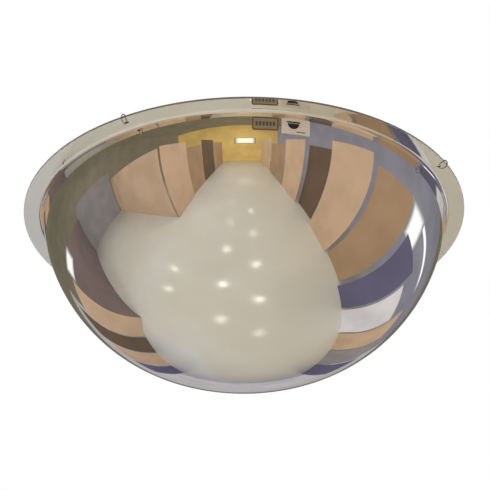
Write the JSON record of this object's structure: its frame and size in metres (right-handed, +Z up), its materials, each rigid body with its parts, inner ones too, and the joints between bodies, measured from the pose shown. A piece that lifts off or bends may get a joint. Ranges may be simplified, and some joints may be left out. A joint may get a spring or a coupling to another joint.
{
  "type": "convex security mirror",
  "caption": "Full-view ceiling dome mirror: a deep mirrored dome with a flat flange, hung by wire rings through holes near the rim.",
  "frame": {"origin": "centre of the flange's flat top face, level with the ceiling side of the acrylic", "axes": "+Z up, along the dome's axis, so the crown points down; -Y is the front, where the labels are; +X is to the right seen from the front"},
  "size_m": [0.8, 0.7998, 0.3075],
  "materials": {
    "mirror_face": "polished",
    "back_paint": "satin",
    "label_framed": "satin",
    "label_plain": "satin",
    "ring_wire": "satin"
  },
  "bodies": {
    "mirror": {"mirror_dome": "mirror_face", "back_coat": "back_paint", "label_framed": "label_framed", "label_plain": "label_plain"},
    "ring_front_right": {"ring_front_right": "ring_wire"},
    "ring_back_right": {"ring_back_right": "ring_wire"},
    "ring_back_left": {"ring_back_left": "ring_wire"},
    "ring_front_left": {"ring_front_left": "ring_wire"}
  },
  "joints": [
    {"name": "ring_front_right_swing", "type": "hinge", "parent": "mirror", "child": "ring_front_right", "pos_m": [0.34292, -0.19401, -0.0015], "axis": [0.8704, -0.4924, 0], "range_deg": [-45, 45]},
    {"name": "ring_back_right_swing", "type": "hinge", "parent": "mirror", "child": "ring_back_right", "pos_m": [0.19401, 0.34292, -0.0015], "axis": [0.4924, 0.8704, 0], "range_deg": [-45, 45]},
    {"name": "ring_back_left_swing", "type": "hinge", "parent": "mirror", "child": "ring_back_left", "pos_m": [-0.34292, 0.19401, -0.0015], "axis": [-0.8704, 0.4924, 0], "range_deg": [-45, 45]},
    {"name": "ring_front_left_swing", "type": "hinge", "parent": "mirror", "child": "ring_front_left", "pos_m": [-0.19401, -0.34292, -0.0015], "axis": [-0.4924, -0.8704, 0], "range_deg": [-45, 45]}
  ]
}
